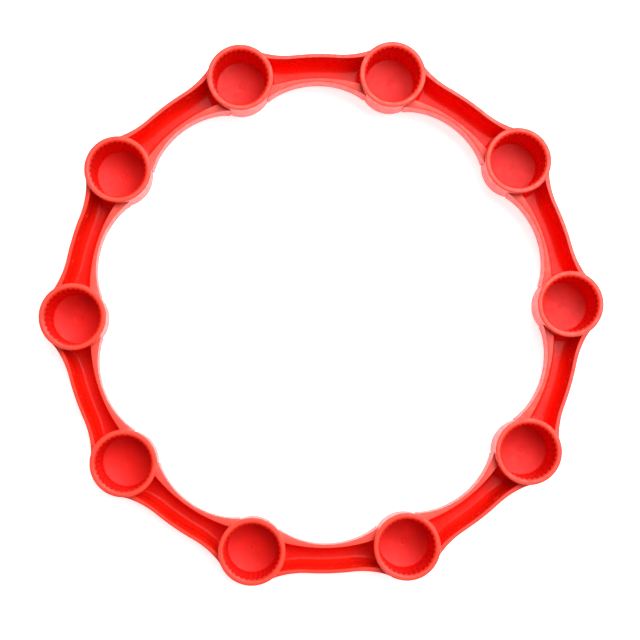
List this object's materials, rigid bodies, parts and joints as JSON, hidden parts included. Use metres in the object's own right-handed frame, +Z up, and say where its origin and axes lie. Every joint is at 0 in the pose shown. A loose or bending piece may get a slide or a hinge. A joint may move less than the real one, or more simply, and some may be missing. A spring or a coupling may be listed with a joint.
{
  "type": "ring of cups",
  "caption": "Moulded plastic ring of ten upright fluted cups joined by curved open channel arms; it lies flat, open side up.",
  "frame": {"origin": "centre of the ring, on the plane that the undersides of the cups stand on", "axes": "+Z up out of the cups' mouths, along the ring's axis; +X from the ring's centre through the middle of cup_01; cups and arms are numbered counter-clockwise"},
  "size_m": [0.32, 0.3062, 0.028],
  "materials": {
    "cup_plastic": "satin moulded red plastic, slightly translucent",
    "arm_plastic": "glossy moulded red plastic, slightly translucent"
  },
  "bodies": {
    "root": {"cup_01": "cup_plastic", "cup_02": "cup_plastic", "cup_03": "cup_plastic", "cup_04": "cup_plastic", "cup_05": "cup_plastic", "cup_06": "cup_plastic", "cup_07": "cup_plastic", "cup_08": "cup_plastic", "cup_09": "cup_plastic", "cup_10": "cup_plastic", "link_arm_01": "arm_plastic", "link_arm_02": "arm_plastic", "link_arm_03": "arm_plastic", "link_arm_04": "arm_plastic", "link_arm_05": "arm_plastic", "link_arm_06": "arm_plastic", "link_arm_07": "arm_plastic", "link_arm_08": "arm_plastic", "link_arm_09": "arm_plastic", "link_arm_10": "arm_plastic"}
  },
  "joints": []
}
